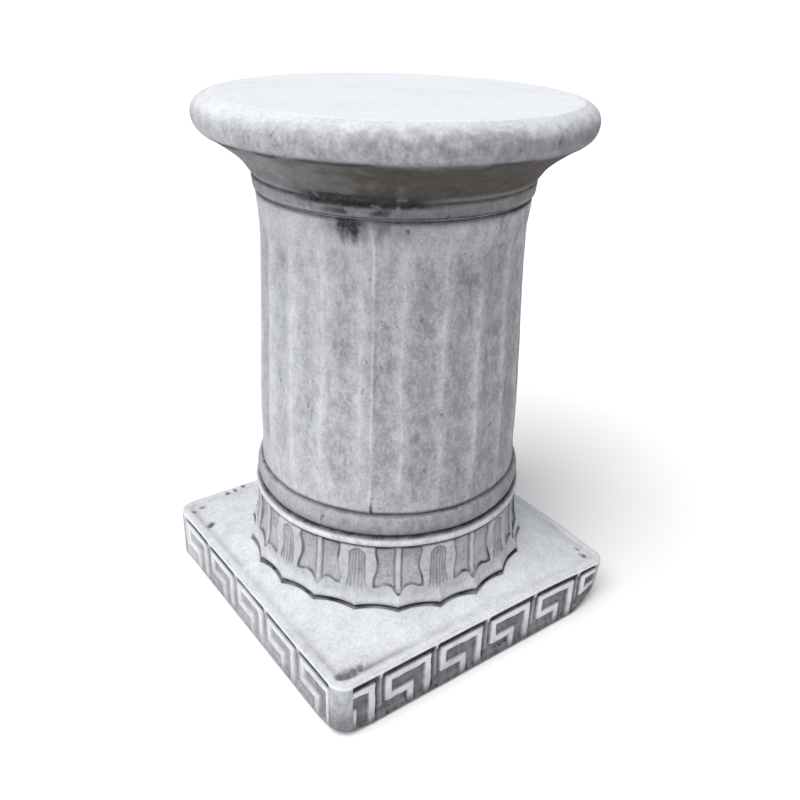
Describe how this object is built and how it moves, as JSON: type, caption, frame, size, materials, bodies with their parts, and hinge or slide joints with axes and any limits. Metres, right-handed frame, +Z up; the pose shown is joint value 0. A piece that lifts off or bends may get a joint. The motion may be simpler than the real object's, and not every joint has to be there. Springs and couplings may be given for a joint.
{
  "type": "doric column",
  "caption": "Short fluted garden column with a round top, a ring of leaves and darts, and a square plinth with a running key.",
  "frame": {"origin": "middle of the plinth's underside", "axes": "+Z up along the shaft, X and Y square to the plinth's sides"},
  "size_m": [0.306, 0.306, 0.455],
  "materials": {
    "cast_stone": "matt cast concrete, weathered"
  },
  "bodies": {
    "root": {"column": "cast_stone"}
  },
  "joints": []
}
